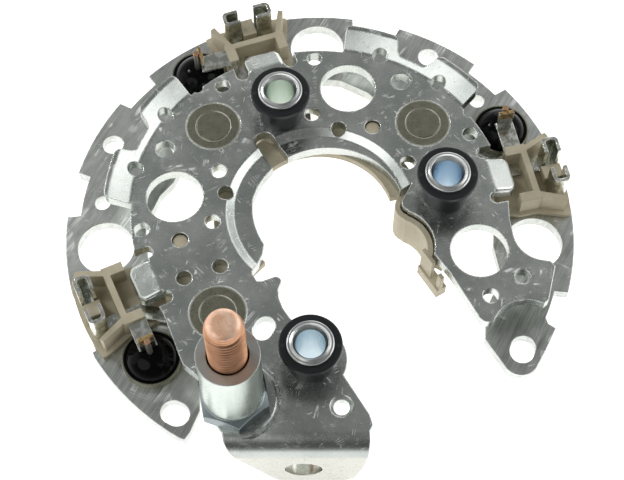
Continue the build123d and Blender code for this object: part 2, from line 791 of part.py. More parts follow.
with BuildPart() as terminal_moulding:
    with BuildSketch(Plane.XY.offset(ring_bottom)):
        with BuildLine():
            round_arc(ring_outer_radius, ring_start, ring_end)
            Line(polar(ring_outer_radius, ring_end), polar(ring_inner_radius, ring_end - 1))
            round_arc(ring_inner_radius, ring_end - 1, ring_start)
            Line(polar(ring_inner_radius, ring_start), polar(ring_outer_radius, ring_start))
        make_face()
        with BuildLine():
            Polyline(*web_points, guard_in_bay[0])
            ThreePointArc(*guard_in_bay)
            Line(guard_in_bay[2], guard_round_lug[0])
            ThreePointArc(*guard_round_lug)
            Line(guard_round_lug[2], web_points[0])
        make_face()
    extrude(amount=ring_thickness)
    for index in range(phase_count):
        with BuildSketch(phase_plane(index, ring_bottom)):
            with Locations(((ring_outer_radius - 2 + arm_reach) / 2, 0)):
                Rectangle(arm_reach - ring_outer_radius + 2, 2 * arm_half_width)
        extrude(amount=positive_bottom - ring_bottom)
        with BuildSketch(phase_plane(index, negative_top)):
            with BuildLine():
                Polyline(
                    (slab_reach - slab_corner, slab_half_width),
                    (slab_reach - 2 * slab_corner, slab_half_width),
                    (tower_leg_reach + slab_waist_length, tower_leg_outer + slab_waist_margin),
                    (tower_leg_reach, tower_leg_outer + slab_waist_margin),
                    (arm_reach - arm_post, arm_half_width),
                    (arm_reach - arm_post, -arm_half_width),
                    (tower_leg_reach, -tower_leg_outer - slab_waist_margin),
                    (tower_leg_reach + slab_waist_length, -tower_leg_outer - slab_waist_margin),
                    (slab_reach - 2 * slab_corner, -slab_half_width),
                    (slab_reach - slab_corner, -slab_half_width),
                )
                ThreePointArc(
                    (slab_reach - slab_corner, -slab_half_width),
                    (slab_reach, 0),
                    (slab_reach - slab_corner, slab_half_width),
                )
            make_face()
        extrude(amount=slab_thickness)
        with BuildSketch(phase_plane(index, negative_top)):
            with Locations((arm_reach - arm_post / 2, 0)):
                Rectangle(arm_post, 2 * arm_half_width)
        extrude(amount=positive_bottom - negative_top)
        with BuildSketch(phase_plane(index, negative_top)):
            with Locations((tower_wall_inner + tower_wall_thickness / 2, 0)):
                Rectangle(tower_wall_thickness, 2 * tower_leg_inner + 2)
            for side in (-1, 1):
                with Locations((
                    (tower_leg_reach + tower_wall_inner + tower_wall_thickness) / 2,
                    side * (tower_leg_inner + tower_leg_outer) / 2,
                )):
                    Rectangle(
                        tower_wall_inner + tower_wall_thickness - tower_leg_reach,
                        tower_leg_outer - tower_leg_inner,
                    )
                fence_root = (tower_wall_inner + 0.4, side * (tower_leg_outer - 0.8))
                fence_tip = (clip_outer - tower_fence_inset, side * tower_fence_spread)
                with BuildLine():
                    Polyline(
                        fence_root,
                        fence_tip,
                        (fence_tip[0] + 0.5, fence_tip[1] - side * tower_fence),
                        (fence_root[0] + tower_wall_thickness - 0.5, fence_root[1] - side * tower_fence),
                        close=True,
                    )
                make_face()
        extrude(amount=tower_top - negative_top)
        with BuildSketch(phase_plane(index, negative_top)):
            with Locations(((clip_inner + clip_outer) / 2, 0)):
                Rectangle(clip_outer - clip_inner + 2 * clip_block_margin, 2 * clip_block_half_width)
        extrude(amount=clip_block_top - negative_top)
        with BuildSketch(phase_plane(index, skirt_bottom)):
            with Locations(((skirt_inner + skirt_outer) / 2, 0)):
                Rectangle(skirt_outer - skirt_inner, 2 * skirt_half_width)
        extrude(amount=negative_top - skirt_bottom)
        with BuildSketch(phase_plane(index)):
            with Locations((plate_stake_orbit, 0)):
                Circle(plate_stake_radius)
        extrude(amount=negative_top)
    with phase_spots(plate_stake_orbit, 0):
        Cone(
            plate_stake_head_radius,
            plate_stake_radius,
            plate_stake_head,
            align=(Align.CENTER, Align.CENTER, Align.MIN),
        )
    for centre in bush_centres[:2]:
        with BuildSketch(Plane.XY.offset(bush_spigot_bottom)):
            with Locations(centre):
                Circle(bush_spigot_radius + boss_wall)
        extrude(amount=positive_bottom - bush_spigot_bottom)
    with BuildSketch(Plane.XY.offset(ring_top)):
        Circle(lip_bend_radius + lip_relief)
    extrude(amount=lip_drop, mode=Mode.SUBTRACT)
    with BuildSketch(Plane.XY.offset(ring_bottom)):
        with Locations(first_stake, second_stake):
            Circle(stake_pad_radius)
    extrude(amount=positive_bottom - ring_bottom)
    with BuildSketch(Plane.XY.offset(ring_bottom)):
        with Locations(first_stake, second_stake):
            Circle(stake_radius)
    extrude(amount=stake_top - ring_bottom)
    with BuildSketch(Plane.XY.offset(guard_bottom)):
        with BuildLine() as guard_path:
            ThreePointArc(*guard_in_bay)
            Line(guard_in_bay[2], guard_round_lug[0])
            ThreePointArc(*guard_round_lug)
        trace(guard_path.edges(), guard_thickness)
    extrude(amount=guard_top - guard_bottom)
    with BuildSketch(latch_plan):
        Rectangle(latch_length, latch_width)
    extrude(amount=latch_foot_height)
    with BuildSketch(latch_plan):
        with Locations(((latch_wall_length - latch_length) / 2, latch_wall_middle)):
            Rectangle(latch_wall_length, latch_wall)
    extrude(amount=guard_top - guard_bottom)
    with BuildSketch(latch_plan):
        with Locations(((latch_length - latch_post_length) / 2, latch_wall_middle)):
            Rectangle(latch_post_length, latch_wall)
    extrude(amount=latch_post_top - guard_bottom)
    for index in range(phase_count):
        add(phase_terminals[index], mode=Mode.SUBTRACT)
        with BuildSketch(phase_plane(index, skirt_bottom + slab_thickness)):
            for side in (-1, 1):
                with Locations(((clip_inner + clip_outer) / 2, side * (clip_near + clip_far) / 2)):
                    Rectangle(clip_outer - clip_inner - 2 * sheet, clip_far - clip_near - 2 * sheet)
        extrude(amount=slab_top - skirt_bottom - slab_thickness, mode=Mode.SUBTRACT)
    with BuildSketch(Plane.XY.offset(-1)):
        with Locations(*bush_centres[:2]):
            Circle(bush_spigot_radius + fit_clearance)
    extrude(amount=positive_bottom + 1, mode=Mode.SUBTRACT)
finish(terminal_moulding.part, "terminal_moulding")

# Insulating bushes and their steel eyelets
bush_top = positive_top + bush_stand
eyelet_top = bush_top + eyelet_flange_thickness
eyelet_outer = eyelet_bore_radius + eyelet_wall

for number, centre in enumerate(bush_centres, start=1):
    axis = Axis((centre[0], centre[1], 0), (0, 0, 1))
    section = Plane(origin=(centre[0], centre[1], 0), x_dir=(1, 0, 0), z_dir=(0, -1, 0))
    with BuildPart() as bush:
        with BuildSketch(section):
            with BuildLine():
                Polyline(
                    (eyelet_outer + fit_clearance, bush_spigot_bottom),
                    (bush_spigot_radius, bush_spigot_bottom),
                    (bush_spigot_radius, positive_top),
                    (bush_neck_radius, positive_top),
                    (bush_neck_radius, bush_top - bush_flange_thickness - bush_flange_taper),
                    (bush_flange_radius, bush_top - bush_flange_thickness),
                    (bush_flange_radius, bush_top),
                    (eyelet_outer + fit_clearance, bush_top),
                    close=True,
                )
            make_face()
        revolve(axis=axis)
        fillet(bush.edges().filter_by(GeomType.CIRCLE).group_by(SortBy.RADIUS)[-1].group_by(Axis.Z)[-1], 0.35)
    finish(bush.part, "insulating_bush_" + str(number))
    with BuildPart() as eyelet:
        with BuildSketch(section):
            with BuildLine():
                Polyline(
                    (eyelet_bore_radius, 0),
                    (eyelet_outer, 0),
                    (eyelet_outer, bush_top),
                    (eyelet_flange_radius, bush_top),
                    (eyelet_flange_radius, eyelet_top),
                    (eyelet_crest_radius + eyelet_wall, eyelet_top),
                    (eyelet_crest_radius, eyelet_top + eyelet_crest),
                    (eyelet_bore_radius, eyelet_top - eyelet_funnel),
                    close=True,
                )
            make_face()
            fillet(vertices().group_by(Axis.Y)[-1], eyelet_crest_round)
            fillet(vertices().group_by(Axis.X)[-1].sort_by(Axis.Y)[-1], eyelet_flange_thickness / 2)
        revolve(axis=axis)
    finish(eyelet.part, "eyelet_" + str(number))

# Output stud, headed under the positive plate, with a waisted shank and a dog point
stud_section = Plane(origin=(stud_centre[0], stud_centre[1], 0), x_dir=(1, 0, 0), z_dir=(0, -1, 0))
stud_axis = Axis((stud_centre[0], stud_centre[1], 0), (0, 0, 1))
neck_start = positive_top + sleeve_thread_length
thread_start = positive_top + sleeve_height + stud_thread_margin
thread_end = stud_top - stud_tip_length

with BuildPart() as output_stud:
    with BuildSketch(stud_section):
        with BuildLine():
            Polyline(
                (0, positive_bottom - stud_head_thickness),
                (stud_head_radius - 0.5, positive_bottom - stud_head_thickness),
                (stud_head_radius, positive_bottom - stud_head_thickness + 0.5),
                (stud_head_radius, positive_bottom),
                (stud_radius, positive_bottom),
                (stud_radius, neck_start),
                (stud_neck_radius, neck_start),
                (stud_neck_radius, thread_start),
                (stud_radius, thread_start),
                (stud_radius, thread_end - stud_lead_in),
                (stud_tip_radius, thread_end),
                (stud_tip_radius, stud_top - stud_tip_round),
            )
            ThreePointArc(
                (stud_tip_radius, stud_top - stud_tip_round),
                ((stud_tip_radius + stud_tip_flat_radius) / 2 + 0.25, stud_top - stud_tip_round / 2 + 0.45),
                (stud_tip_flat_radius, stud_top),
            )
            Polyline((stud_tip_flat_radius, stud_top), (0, stud_top), (0, positive_bottom - stud_head_thickness))
        make_face()
    revolve(axis=stud_axis)
finish(output_stud.part, "output_stud")

# Sleeve nut that clamps the plate and stands the cable off
with BuildPart() as stud_sleeve_nut:
    with BuildSketch(Plane.XY.offset(positive_top)):
        with Locations(Location(stud_centre, hexagon_turn)):
            RegularPolygon(hexagon_flats / 2, 6, major_radius=False)
    extrude(amount=hexagon_height)
    with BuildSketch(stud_section):
        with BuildLine():
            Polyline(
                (0, positive_top),
                (hexagon_flats / 2 + 2, positive_top),
                (hexagon_flats / 2 + 2, positive_top + hexagon_height - 2 * hexagon_crown),
                (hexagon_flats / 2 - 0.3, positive_top + hexagon_height),
                (0, positive_top + hexagon_height),
                close=True,
            )
        make_face()
    revolve(axis=stud_axis, mode=Mode.INTERSECT)
    with BuildSketch(Plane.XY.offset(positive_top)):
        with Locations(stud_centre):
            Circle(sleeve_radius)
    extrude(amount=sleeve_height)
    with BuildSketch(Plane.XY.offset(positive_top)):
        with Locations(stud_centre):
            Circle(stud_radius)
    extrude(amount=sleeve_height, mode=Mode.SUBTRACT)
    with BuildSketch(Plane.XY.offset(positive_top + sleeve_thread_length)):
        with Locations(stud_centre):
            Circle(sleeve_bore_radius)
    extrude(amount=sleeve_height, mode=Mode.SUBTRACT)
finish(stud_sleeve_nut.part, "stud_sleeve_nut")


def diode_section(centre, base, upward):
    """Plane through a diode's axis, with its Y running from the base towards the lead."""
    return Plane(origin=(centre[0], centre[1], base), x_dir=(1, 0, 0), z_dir=(0, -upward, 0))


def build_diode(name, centre, base, upward, dome, lead_length):
    """Cup, die, lead and potting of one press-fit diode, measured from its base."""
    section = diode_section(centre, base, upward)
    axis = Axis((centre[0], centre[1], 0), (0, 0, 1))
    bore = diode_radius - diode_wall
    die_top = diode_base + die_thickness
    head_top = die_top + lead_head_thickness
    with BuildPart() as cup:
        with BuildSketch(section):
            with BuildLine():
                Polyline(
                    (0, 0),
                    (diode_radius, 0),
                    (diode_radius, plate_thickness),
                    (diode_radius + diode_collar, plate_thickness),
                    (diode_radius + diode_collar, diode_height),
                    (bore, diode_height),
                    (bore, diode_base),
                    (0, diode_base),
                    close=True,
                )
            make_face()
            with Locations((diode_ring_radius, diode_ring_depth / 2)):
                Rectangle(diode_ring_width, diode_ring_depth, mode=Mode.SUBTRACT)
        revolve(axis=axis)
    finish(cup.part, name + "_cup")
    with BuildPart() as die:
        with Locations((centre[0], centre[1], base + upward * (diode_base + die_thickness / 2))):
            Box(die_width, die_width, die_thickness)
    finish(die.part, name + "_die")
    with BuildPart() as lead:
        with BuildSketch(section):
            with BuildLine():
                Polyline(
                    (0, die_top),
                    (lead_head_radius, die_top),
                    (lead_head_radius, head_top),
                    (lead_radius, head_top),
                    (lead_radius, lead_length),
                    (0, lead_length),
                    close=True,
                )
            make_face()
        revolve(axis=axis)
    finish(lead.part, name + "_lead")
    with BuildPart() as potting:
        with BuildSketch(section):
            with BuildLine():
                Polyline((0, diode_height + dome), (0, diode_base), (bore, diode_base), (bore, diode_height))
                ThreePointArc(
                    (bore, diode_height),
                    (bore * dome_shoulder, diode_height + dome * dome_shoulder_height),
                    (0, diode_height + dome),
                )
            make_face()
        revolve(axis=axis)
        add(die.part, mode=Mode.SUBTRACT)
        add(lead.part, mode=Mode.SUBTRACT)
    finish(potting.part, name + "_potting")


positive_spots = inset_spots(positive_diodes)

for index in range(phase_count):
    number = str(index + 1)
    build_diode(
        "negative_diode_" + number,
        polar(negative_diode_orbit, phase_azimuth(index) + negative_diode_shift),
        0.0,
        1,
        negative_dome_height,
        negative_lead_top,
    )
    build_diode(
        "positive_diode_" + number,
        positive_spots[index],
        positive_top,
        -1,
        positive_dome_height,
        positive_top - positive_lead_bottom,
    )
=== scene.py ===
# %% [markdown]
# An alternator rectifier, dressed as in its photograph.
#
# The real part is a stack of two stamped aluminium plates. They cool six press-fit diodes and are
# held apart by a beige moulded carrier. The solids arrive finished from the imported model, in
# metres, with the origin on the rotor axis. This script gives them their surfaces and adds what is
# too fine for the solids: the thread, the knurls, the weld beads and the rounded edges of the
# stamping.

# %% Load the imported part
import json
from math import cos, pi, radians, sin

import bmesh
import bpy
from mathutils import Matrix, Vector, noise


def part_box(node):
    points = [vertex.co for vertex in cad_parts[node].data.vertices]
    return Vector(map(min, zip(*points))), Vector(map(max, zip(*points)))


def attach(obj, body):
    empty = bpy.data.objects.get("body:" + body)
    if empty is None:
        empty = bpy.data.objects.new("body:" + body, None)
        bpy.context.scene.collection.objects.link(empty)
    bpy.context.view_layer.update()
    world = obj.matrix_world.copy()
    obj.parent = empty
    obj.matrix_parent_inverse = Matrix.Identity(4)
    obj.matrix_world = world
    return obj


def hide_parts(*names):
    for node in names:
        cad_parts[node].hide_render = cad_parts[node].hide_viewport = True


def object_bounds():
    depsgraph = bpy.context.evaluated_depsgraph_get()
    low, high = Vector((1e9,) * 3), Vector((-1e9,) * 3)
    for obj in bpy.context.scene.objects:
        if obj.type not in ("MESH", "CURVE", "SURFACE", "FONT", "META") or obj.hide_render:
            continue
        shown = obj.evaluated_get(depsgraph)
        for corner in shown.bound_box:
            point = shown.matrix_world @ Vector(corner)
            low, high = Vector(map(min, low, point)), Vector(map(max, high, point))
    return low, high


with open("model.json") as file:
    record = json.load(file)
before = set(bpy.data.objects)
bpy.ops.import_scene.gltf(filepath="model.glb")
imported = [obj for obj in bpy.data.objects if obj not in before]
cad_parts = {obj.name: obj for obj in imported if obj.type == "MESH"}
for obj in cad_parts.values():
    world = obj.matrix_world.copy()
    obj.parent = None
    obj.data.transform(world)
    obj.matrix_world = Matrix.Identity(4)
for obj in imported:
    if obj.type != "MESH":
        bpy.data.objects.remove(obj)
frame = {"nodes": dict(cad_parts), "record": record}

MM = 0.001
# The towers, terminals and bushes come in threes, and so do the diodes of each plate
TRIO = (1, 2, 3)

cad_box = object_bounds()
nodes = frame["nodes"]
slot_of = {part["node"]: part["material_slot"] for part in frame["record"]["subparts"]}
print("solids:", len(nodes), "finishes:", len(set(slot_of.values())))

# %% [markdown]
# The camera. The photograph looks down at the part from the side of the stud. Its place was
# solved from the round rims and holes, so the render can be laid over the photograph. The shift
# is the small distance between the picture's middle and the lens axis.

# %% Camera
camera_place = (-1.16, -147.52, 289.79)
camera_elevation = 63.375
lens_pixels = 1384.65
frame_width = 624
axis_offset = 2.91
sensor = 36.0

camera_data = bpy.data.cameras.new("photo_camera")
camera_data.sensor_width = sensor
camera_data.lens = lens_pixels * sensor / frame_width
camera_data.shift_x = -axis_offset / frame_width
camera_data.clip_start = 0.01
camera_data.clip_end = 20
camera = bpy.data.objects.new("photo_camera", camera_data)
camera.location = Vector(camera_place) * MM
camera.rotation_euler = (radians(90 - camera_elevation), 0, 0)
bpy.context.scene.collection.objects.link(camera)
bpy.context.scene.camera = camera
bpy.context.scene.view_settings.view_transform = "Standard"
print("lens: %.1f mm" % camera_data.lens)

# %% [markdown]
# The stage. The photograph shows the part on plain white. A pale floor under the lowest point
# stands in for it. The floor glows, so that it is white in the openings too, where the plates
# shade it. Polished metal shows what surrounds it, so the room matters more than the floor: it is
# pale at the horizon and dim overhead, which makes flat faces mid grey and leaves bends and edges
# bright, as they are in the photograph.

# %% Floor
floor_size = 6.0
floor_gap = 0.00002
floor_colour = (0.93, 0.93, 0.93, 1)
floor_roughness = 0.9
floor_glow = 0.9

floor_mesh = bpy.data.meshes.new("floor")
half = floor_size / 2
floor_z = cad_box[0].z - floor_gap
floor_corners = ((-half, -half), (half, -half), (half, half), (-half, half))
floor_mesh.from_pydata([(x, y, floor_z) for x, y in floor_corners], [], [(0, 1, 2, 3)])
floor = bpy.data.objects.new("floor", floor_mesh)
bpy.context.scene.collection.objects.link(floor)
floor_paint = bpy.data.materials.new("floor_paint")
floor_paint.use_nodes = True
floor_surface = floor_paint.node_tree.nodes["Principled BSDF"]
floor_surface.inputs["Base Color"].default_value = floor_colour
floor_surface.inputs["Roughness"].default_value = floor_roughness
floor_surface.inputs["Emission Color"].default_value = (1, 1, 1, 1)
floor_surface.inputs["Emission Strength"].default_value = floor_glow
floor_mesh.materials.append(floor_paint)
print("floor at %.2f mm" % (floor_z / MM))

# %% Room
# A colour Mix node has sockets for every kind of value, and these are the ones for colours
MIX_FIRST, MIX_SECOND, MIX_RESULT = 6, 7, 2

# Share of the height, from the horizon up, and the light there: in front of the part and behind it
front_levels = ((0.0, 0.85), (0.12, 0.55), (0.30, 0.15), (0.75, 0.10), (1.0, 0.15))
back_levels = ((0.0, 0.90), (0.30, 0.66), (0.62, 0.34), (0.86, 0.225), (1.0, 0.15))
front_end, back_start = -0.2, 0.3
green_cast = 1.005

room = bpy.data.worlds.new("pale_room")
room.use_nodes = True
bpy.context.scene.world = room
room_nodes = room.node_tree.nodes
room_link = room.node_tree.links.new
direction = room_nodes.new("ShaderNodeTexCoord")
parts = room_nodes.new("ShaderNodeSeparateXYZ")
room_link(direction.outputs["Generated"], parts.inputs[0])
side = room_nodes.new("ShaderNodeMapRange")
side.inputs["From Min"].default_value = front_end
side.inputs["From Max"].default_value = back_start
room_link(parts.outputs["Y"], side.inputs["Value"])
blend = room_nodes.new("ShaderNodeMix")
blend.data_type = "RGBA"
room_link(side.outputs[0], blend.inputs[0])
for socket, levels in ((MIX_FIRST, front_levels), (MIX_SECOND, back_levels)):
    ramp = room_nodes.new("ShaderNodeValToRGB")
    stops = ramp.color_ramp.elements
    while len(stops) < len(levels):
        stops.new(0.5)
    for stop, (position, level) in zip(stops, levels):
        stop.position = position
        stop.color = (level, level * green_cast, level, 1)
    room_link(parts.outputs["Z"], ramp.inputs[0])
    room_link(ramp.outputs[0], blend.inputs[socket])
room_link(blend.outputs[MIX_RESULT], room_nodes["Background"].inputs["Color"])
print("room ready")

# %% [markdown]
# Lamps. A small key lamp draws the highlights on the round pieces. The others are wide and soft.
# The wings of the upper plate rise outwards, so each mirrors the sky across the part from it and
# not the sky overhead. The widest lamps hang there, and make the wings as bright as they are in
# the photograph.

# %% Lamps
# Name, azimuth from +X and elevation in degrees, distance and width in metres, power in watts
lamps = (
    ("key_lamp", 138, 46, 0.70, 0.10, 0.60),
    ("second_lamp", 52, 42, 0.70, 0.30, 0.22),
    ("side_lamp", 6, 38, 0.62, 0.46, 1.05),
    ("front_left_lamp", 216, 52, 0.62, 0.50, 1.05),
    ("low_left_lamp", 172, 24, 0.62, 0.50, 0.45),
    ("low_back_lamp", 78, 18, 0.70, 0.45, 0.60),
)


def add_lamp(name, azimuth, elevation, distance, width, power):
    """Round area lamp on a sphere round the part, aimed at the rotor axis."""
    light = bpy.data.lights.new(name, "AREA")
    light.shape = "DISK"
    light.size = width
    light.energy = power
    lamp = bpy.data.objects.new(name, light)
    flat = distance * cos(radians(elevation))
    lamp.location = (
        flat * cos(radians(azimuth)),
        flat * sin(radians(azimuth)),
        distance * sin(radians(elevation)),
    )
    lamp.rotation_euler = (-lamp.location).to_track_quat("-Z", "Y").to_euler()
    bpy.context.scene.collection.objects.link(lamp)


for lamp in lamps:
    add_lamp(*lamp)
print("lamps:", len(lamps))

# %% [markdown]
# Shader sums as plain Python. A finish is mostly arithmetic on patterns, and long chains of nodes
# are hard to read. One small class wraps a socket, so that `mask * 0.3 + 0.2` adds the Math nodes,
# and one method adds any other node.
#
# Every finish also rounds its edges. A press rolls the edge of a sheet and a mould needs small
# radii, and these narrow bands catch the light all round the outline. Fillets in the solids or a
# bevel on each mesh would make real shape. The Bevel shader node bends the light instead. It needs
# no new mesh, copes with every corner, and also tells a finish where its edges are. Most finishes
# paint these edges paler, as a painted highlight.

# %% Helpers for finishes


class Wire:
    """A shader socket that takes part in arithmetic."""

    def __init__(self, graph, socket):
        self.graph = graph
        self.socket = socket

    def _sum(self, operation, *values):
        return self.graph.node("ShaderNodeMath", {"operation": operation}, dict(enumerate(values)))

    def __add__(self, other):
        return self._sum("ADD", self, other)

    def __radd__(self, other):
        return self._sum("ADD", other, self)

    def __sub__(self, other):
        return self._sum("SUBTRACT", self, other)

    def __rsub__(self, other):
        return self._sum("SUBTRACT", other, self)

    def __mul__(self, other):
        return self._sum("MULTIPLY", self, other)

    def __truediv__(self, other):
        return self._sum("DIVIDE", self, other)

    def __abs__(self):
        return self._sum("ABSOLUTE", self)

    def least(self, other):
        return self._sum("MINIMUM", self, other)

    def most(self, other):
        return self._sum("MAXIMUM", self, other)

    def through(self, operation):
        """Sine, root, fraction or another operation on this value alone."""
        return self._sum(operation, self)

    def clamped(self):
        return self.most(0.0).least(1.0)

    def step(self, low, high):
        """0 below low, 1 above high, and a smooth rise between them."""
        settings = {"interpolation_type": "SMOOTHSTEP"}
        sockets = {0: self, 1: low, 2: high, 3: 0.0, 4: 1.0}
        return self.graph.node("ShaderNodeMapRange", settings, sockets)

    def fade(self, low, high):
        """1 below low, 0 above high, and a smooth fall between them."""
        return 1 - self.step(low, high)

    def band(self, rise, fall):
        """1 between the rise and the fall, which are each a pair of values."""
        return self.step(*rise) * self.fade(*fall)


def joined(masks, how):
    """One mask out of several, by Wire.most or Wire.least."""
    result, *others = masks
    for mask in others:
        result = how(result, mask)
    return result


class Graph:
    """A node tree with one way to add any node."""

    def node(self, kind, settings, sockets, output=0):
        """Any node: its settings first, then the values or wires of its sockets."""
        made = self.tree.nodes.new(kind)
        for key, value in settings.items():
            setattr(made, key, value)
        for key, value in sockets.items():
            if isinstance(value, Wire):
                self.tree.links.new(value.socket, made.inputs[key])
            else:
                made.inputs[key].default_value = value
        return Wire(self, made.outputs[output])

    def split(self, vector):
        """The three parts of a vector."""
        made = self.tree.nodes.new("ShaderNodeSeparateXYZ")
        self.tree.links.new(vector.socket, made.inputs[0])
        return [Wire(self, output) for output in made.outputs]


class Finish(Graph):
    """One material while it is being made, with its edges rounded by a radius in millimetres."""

    bevel_samples = 6
    # How far the rounded normal leaves the flat one, from where an edge starts to where it is full
    edge_band = (0.02, 0.22)
    # How softly the patches of scratches end
    patch_edge = 0.08

    def __init__(self, name, edge, **constants):
        self.material = bpy.data.materials.new(name)
        self.material.use_nodes = True
        self.tree = self.material.node_tree
        self.surface = self.tree.nodes["Principled BSDF"]
        for socket, value in constants.items():
            self.surface.inputs[socket.replace("_", " ")].default_value = value
        place = self.node("ShaderNodeTexCoord", {}, {}, "Object")
        in_millimetres = {0: place, "Scale": 1 / MM}
        self.place = self.node("ShaderNodeVectorMath", {"operation": "SCALE"}, in_millimetres)
        self.x, self.y, self.z = self.split(self.place)
        bevel = {"samples": self.bevel_samples}
        self.rounded = self.node("ShaderNodeBevel", bevel, {"Radius": edge * MM})
        flat = self.node("ShaderNodeNewGeometry", {}, {}, "Normal")
        product = {"operation": "DOT_PRODUCT"}
        turned = self.node("ShaderNodeVectorMath", product, {0: self.rounded, 1: flat}, "Value")
        self.edge = (1 - turned).step(*self.edge_band)

    def noise(self, size, detail, roughness=0.5, stretch=(1, 1, 1), turn=0.0):
        """Soft noise from 0 to 1, with spots of about size millimetres, stretched and turned."""
        spot_size = tuple(size * length for length in stretch)
        where = self.node(
            "ShaderNodeMapping",
            {"vector_type": "TEXTURE"},
            {"Vector": self.place, "Rotation": (0, 0, radians(turn)), "Scale": spot_size},
        )
        sockets = {"Vector": where, "Scale": 1.0, "Detail": detail, "Roughness": roughness}
        return self.node("ShaderNodeTexNoise", {}, sockets)

    def marks(self, sharpness, turn, length, width, patch, cover):
        """Thin scratches in one direction, in patches: 1 on a mark and 0 elsewhere."""
        waves = self.noise(width, 0.0, 0.5, (length, 1, 1), turn)
        lines = (1 - abs(waves - 0.5) * sharpness).clamped()
        patch_start = 1 - cover
        return lines * self.noise(patch, 1.0).step(patch_start, patch_start + self.patch_edge)

    def scratches(self, sharpness, table):
        """The marks of a table, which has one row for each direction."""
        return joined([self.marks(sharpness, *row) for row in table], Wire.most)

    def mix(self, mask, first, second):
        """Colour that goes from first to second with the mask."""
        sockets = {0: mask}
        for key, colour in ((MIX_FIRST, first), (MIX_SECOND, second)):
            sockets[key] = colour if isinstance(colour, Wire) else (*colour, 1)
        return self.node("ShaderNodeMix", {"data_type": "RGBA"}, sockets, MIX_RESULT)

    def away(self, centre):
        """Distance in the plan from a point given in millimetres."""
        across = self.x - centre[0]
        along = self.y - centre[1]
        return (across * across + along * along).through("SQRT")

    def bump(self, height, strength, depth):
        """Small relief: depth is in millimetres."""
        sockets = {"Height": height, "Strength": strength, "Distance": depth * MM}
        sockets["Normal"] = self.rounded
        self.wire("Normal", self.node("ShaderNodeBump", {}, sockets))

    def wire(self, socket, value):
        """Connect a value to a socket of the surface."""
        self.tree.links.new(value.socket, self.surface.inputs[socket])


def middle(node):
    """Centre of a solid's box in the plan, in millimetres."""
    low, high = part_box(node)
    return ((low.x + high.x) / 2 / MM, (low.y + high.y) / 2 / MM)


def middles(pattern):
    """Centres of the three solids whose names differ in their number."""
    return [middle(pattern % number) for number in TRIO]


finishes = {}
print("helpers ready")

# %% [markdown]
# Plates. Both are stamped from rolled aluminium sheet. The upper one was polished before it was
# pressed: satin, with fine scratches in every direction and specks. It is paler in a ring round
# the stud's sleeve and round each bush, and its bent tab is duller and stained. The bend of the
# tab is darkened with painted shade, and the edges of both plates are painted paler, a painted
# highlight. The lower one keeps the brushed grain of the sheet.

# %% Upper plate
stud_place = middle("stud_sleeve_nut")

# The higher the sharpness, the thinner the scratches. Each row is one direction: turn in degrees,
# length in widths, width and size of the patches in millimetres, and share that they cover
upper_sharpness = 22
upper_marks = (
    (25, 24, 0.8, 2.4, 0.38),
    (-48, 26, 0.7, 2.8, 0.38),
    (80, 24, 0.8, 2.6, 0.37),
    (3, 26, 0.7, 2.2, 0.37),
    (52, 30, 1.0, 5.0, 0.34),
)
# Radii in millimetres between which the paler rings begin and end
sleeve_ring = ((8.2, 9.4), (10.6, 12.0))
bush_ring = (6.6, 9.2)
# How far the tab's bend reaches in from its outer face, where it is darkened with painted shade,
# and how far below the plate's top that face begins
tab_bend = (3.0, 4.5)
tab_face = (-5.0, -3.0)


def upper_plate_finish():
    """Satin aluminium with short scratches, specks, paler rings and a dull tab, with painted shade
    on the tab's bend and a painted highlight on the edges.
    """
    dull, pale = (0.52, 0.56, 0.53), (0.70, 0.73, 0.70)
    grain_tone, speck_tone = (0.44, 0.47, 0.45), (0.33, 0.345, 0.33)
    bend_shade_tone, tab_tone, stain_tone = (0.30, 0.315, 0.305), (0.53, 0.53, 0.475), (0.34, 0.31, 0.21)
    mark_tone, edge_highlight_tone = (1.0, 1.0, 0.98), (0.95, 0.96, 0.94)

    paint = Finish("upper_plate_aluminium", 0.38, Metallic=1.0)
    cloud = paint.noise(13, 4.0, 0.6)
    grain = paint.noise(0.35, 3.0, 0.6)
    mottle = paint.noise(2.2, 3.0, 0.65)
    specks = paint.noise(0.8, 2.0, 0.6).step(0.67, 0.75)
    dots = paint.noise(0.42, 1.0, 0.5).step(0.70, 0.75) * mottle.step(0.45, 0.6)
    scratches = paint.scratches(upper_sharpness, upper_marks)

    # Patchy paler rings round the stud's sleeve and round each bush
    pale_rings = paint.away(stud_place).band(*sleeve_ring) * paint.noise(1.4, 3.0, 0.7).step(0.45, 0.62)
    for place in middles("insulating_bush_%d"):
        pale_bush_ring = paint.away(place).fade(*bush_ring) * paint.noise(0.7, 3.0, 0.7).step(0.48, 0.6)
        pale_rings = pale_rings.most(pale_bush_ring)

    base = paint.mix(cloud.step(0.33, 0.68), dull, pale)
    base = paint.mix((grain - 0.3) * 0.4, base, grain_tone)
    base = paint.mix((scratches * 0.8).most(pale_rings * 0.55).most(dots * 0.6), base, mark_tone)
    base = paint.mix(specks * 0.55, base, speck_tone)

    tab_y, plate_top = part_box("positive_plate")[0].y / MM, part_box("stud_sleeve_nut")[0].z / MM
    bend = (paint.y - tab_y).fade(*tab_bend)
    face = bend * (paint.z - plate_top).fade(*tab_face)
    stains = paint.noise(0.6, 3.0, 0.6, (3, 1, 1)).step(0.60, 0.68)
    # Painted shade: the bend of the tab is darkened
    base = paint.mix(bend * 0.5, base, bend_shade_tone)
    base = paint.mix(face, base, paint.mix(stains * 0.6, tab_tone, stain_tone))

    # Painted highlight: the edges are painted paler
    paint.wire("Base Color", paint.mix(paint.edge * 0.6, base, edge_highlight_tone))
    rough = 0.18 + cloud * 0.10 + mottle * 0.08 + specks * 0.1
    paint.wire("Roughness", rough + scratches * 0.28)
    paint.bump(grain * 0.25 + mottle * 0.5 + cloud - scratches * 0.4, 0.3, 0.02)
    return paint.material


finishes["positive_aluminium"] = upper_plate_finish()
print("upper plate done")

# %% Lower plate
sheet_grain_turn = 62
lower_sharpness = 17
lower_marks = (
    (58, 24, 0.8, 5, 0.42),
    (-20, 24, 0.7, 4, 0.38),
    (12, 24, 0.7, 3, 0.36),
)


